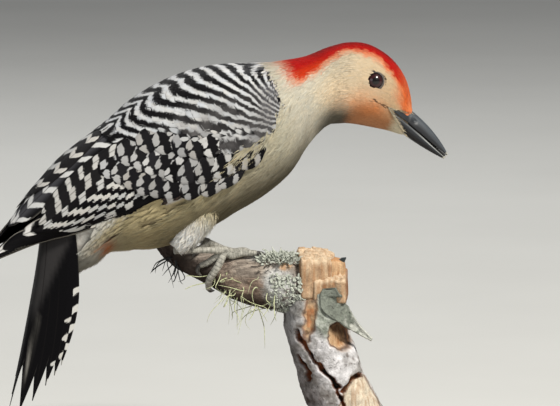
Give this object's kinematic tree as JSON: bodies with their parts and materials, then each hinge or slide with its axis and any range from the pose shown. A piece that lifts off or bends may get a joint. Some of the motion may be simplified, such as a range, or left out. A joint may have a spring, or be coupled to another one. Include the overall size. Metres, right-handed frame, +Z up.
{
  "type": "woodpecker model",
  "caption": "Still, life-size model of a male red-bellied woodpecker leaning down from a broken lichened branch, on a flat base with a short rod.",
  "frame": {"origin": "centre of the underside of the stand's flat base", "axes": "+Z up, +X towards the bird's head, -Y towards the bird's right side"},
  "size_m": [0.1962, 0.1, 0.1774],
  "materials": {
    "barred_plumage": "short feathers barred black and white",
    "black_plumage": "stiff black flight feathers, faint sheen",
    "pale_plumage": "soft cream-buff feathers",
    "red_plumage": "short dense feathers, red over grey-cream",
    "white_plumage": "fluffy off-white feathers",
    "bill_horn": "satin slate-grey horn",
    "eye_gloss": "wet gloss, very dark red-brown",
    "leg_scale": "dry grey scales",
    "claw_horn": "satin dark horn",
    "lichen_bark": "rough grey bark with pale lichen and broken tan wood",
    "stand_wood": "satin stained hardwood",
    "rod_metal": "brushed"
  },
  "bodies": {
    "root": {"head": "red_plumage", "neck": "pale_plumage", "trunk": "pale_plumage", "tail": "black_plumage", "wing_right_coverts": "barred_plumage", "wing_right_secondaries": "barred_plumage", "wing_right_primaries": "black_plumage", "eye_right": "eye_gloss", "thigh_right": "white_plumage", "foot_right": "leg_scale", "claw_right_1": "claw_horn", "claw_right_2": "claw_horn", "claw_right_3": "claw_horn", "claw_right_4": "claw_horn", "wing_left_coverts": "barred_plumage", "wing_left_secondaries": "barred_plumage", "wing_left_primaries": "black_plumage", "eye_left": "eye_gloss", "thigh_left": "white_plumage", "foot_left": "leg_scale", "claw_left_1": "claw_horn", "claw_left_2": "claw_horn", "claw_left_3": "claw_horn", "claw_left_4": "claw_horn", "bill_upper": "bill_horn", "bill_lower": "bill_horn", "perch_arm": "lichen_bark", "perch_stem": "lichen_bark", "stand_base": "stand_wood", "stand_rod": "rod_metal"}
  },
  "joints": []
}
